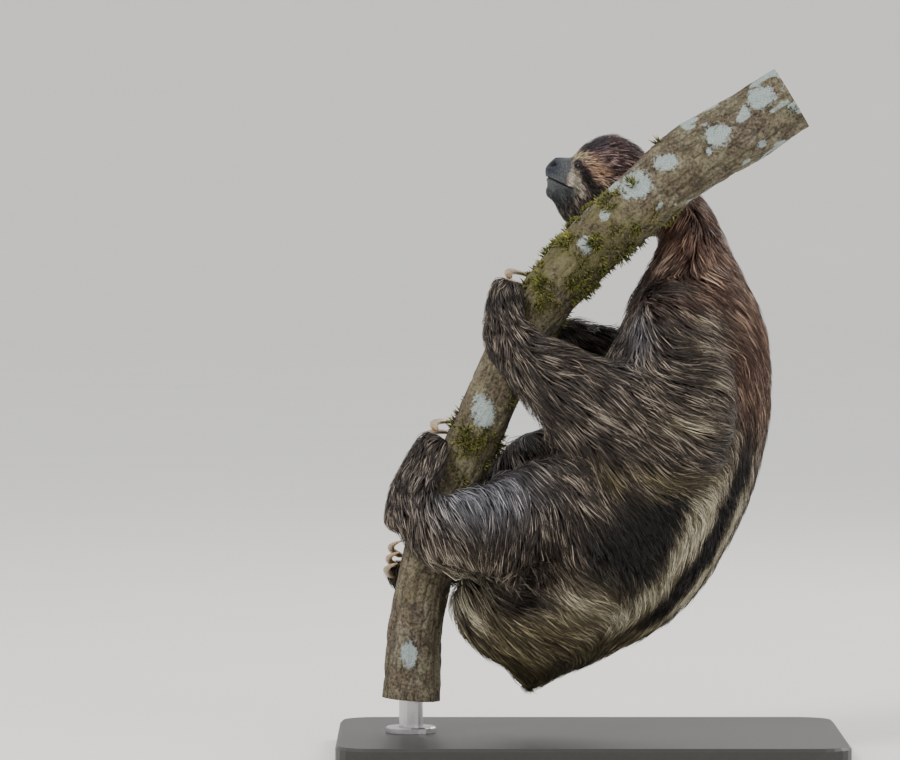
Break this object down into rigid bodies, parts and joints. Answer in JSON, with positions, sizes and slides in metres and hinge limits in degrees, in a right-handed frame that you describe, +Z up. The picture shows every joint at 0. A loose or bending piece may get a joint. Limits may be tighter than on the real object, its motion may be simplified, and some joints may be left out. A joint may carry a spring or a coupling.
{
  "type": "three-toed sloth model",
  "caption": "Life-size still model of a three-toed sloth clinging to a cut, leaning tree trunk, its head raised behind the branch, on a flat display stand.",
  "frame": {"origin": "middle of the stand base's underside, on the floor", "axes": "+Z up; the animal faces -X with its belly to the trunk and its left side on -Y"},
  "size_m": [0.42, 0.29, 0.5693],
  "materials": {
    "coat": "coarse hair",
    "coat_dark": "coarse hair",
    "face": "short hair",
    "jaw_skin": "bare skin, slightly moist",
    "claw_horn": "worn horn",
    "eye_wet": "dark, wet",
    "bark_wood": "rough bark",
    "stand_board": "dark satin",
    "stand_steel": "brushed"
  },
  "bodies": {
    "root": {"thorax": "coat", "abdomen": "coat", "tail": "coat", "neck": "coat_dark", "head": "face", "lower_jaw": "jaw_skin", "eye_left": "eye_wet", "upper_arm_left": "coat", "forearm_left": "coat", "hand_left": "coat", "thigh_left": "coat", "shank_left": "coat", "foot_left": "coat", "claw_hand_left_1": "claw_horn", "claw_hand_left_2": "claw_horn", "claw_hand_left_3": "claw_horn", "claw_foot_left_1": "claw_horn", "claw_foot_left_2": "claw_horn", "claw_foot_left_3": "claw_horn", "eye_right": "eye_wet", "upper_arm_right": "coat", "forearm_right": "coat", "hand_right": "coat", "thigh_right": "coat", "shank_right": "coat", "foot_right": "coat", "claw_hand_right_1": "claw_horn", "claw_hand_right_2": "claw_horn", "claw_hand_right_3": "claw_horn", "claw_foot_right_1": "claw_horn", "claw_foot_right_2": "claw_horn", "claw_foot_right_3": "claw_horn", "perch": "bark_wood", "stand_base": "stand_board", "stand_rod": "stand_steel"}
  },
  "joints": []
}
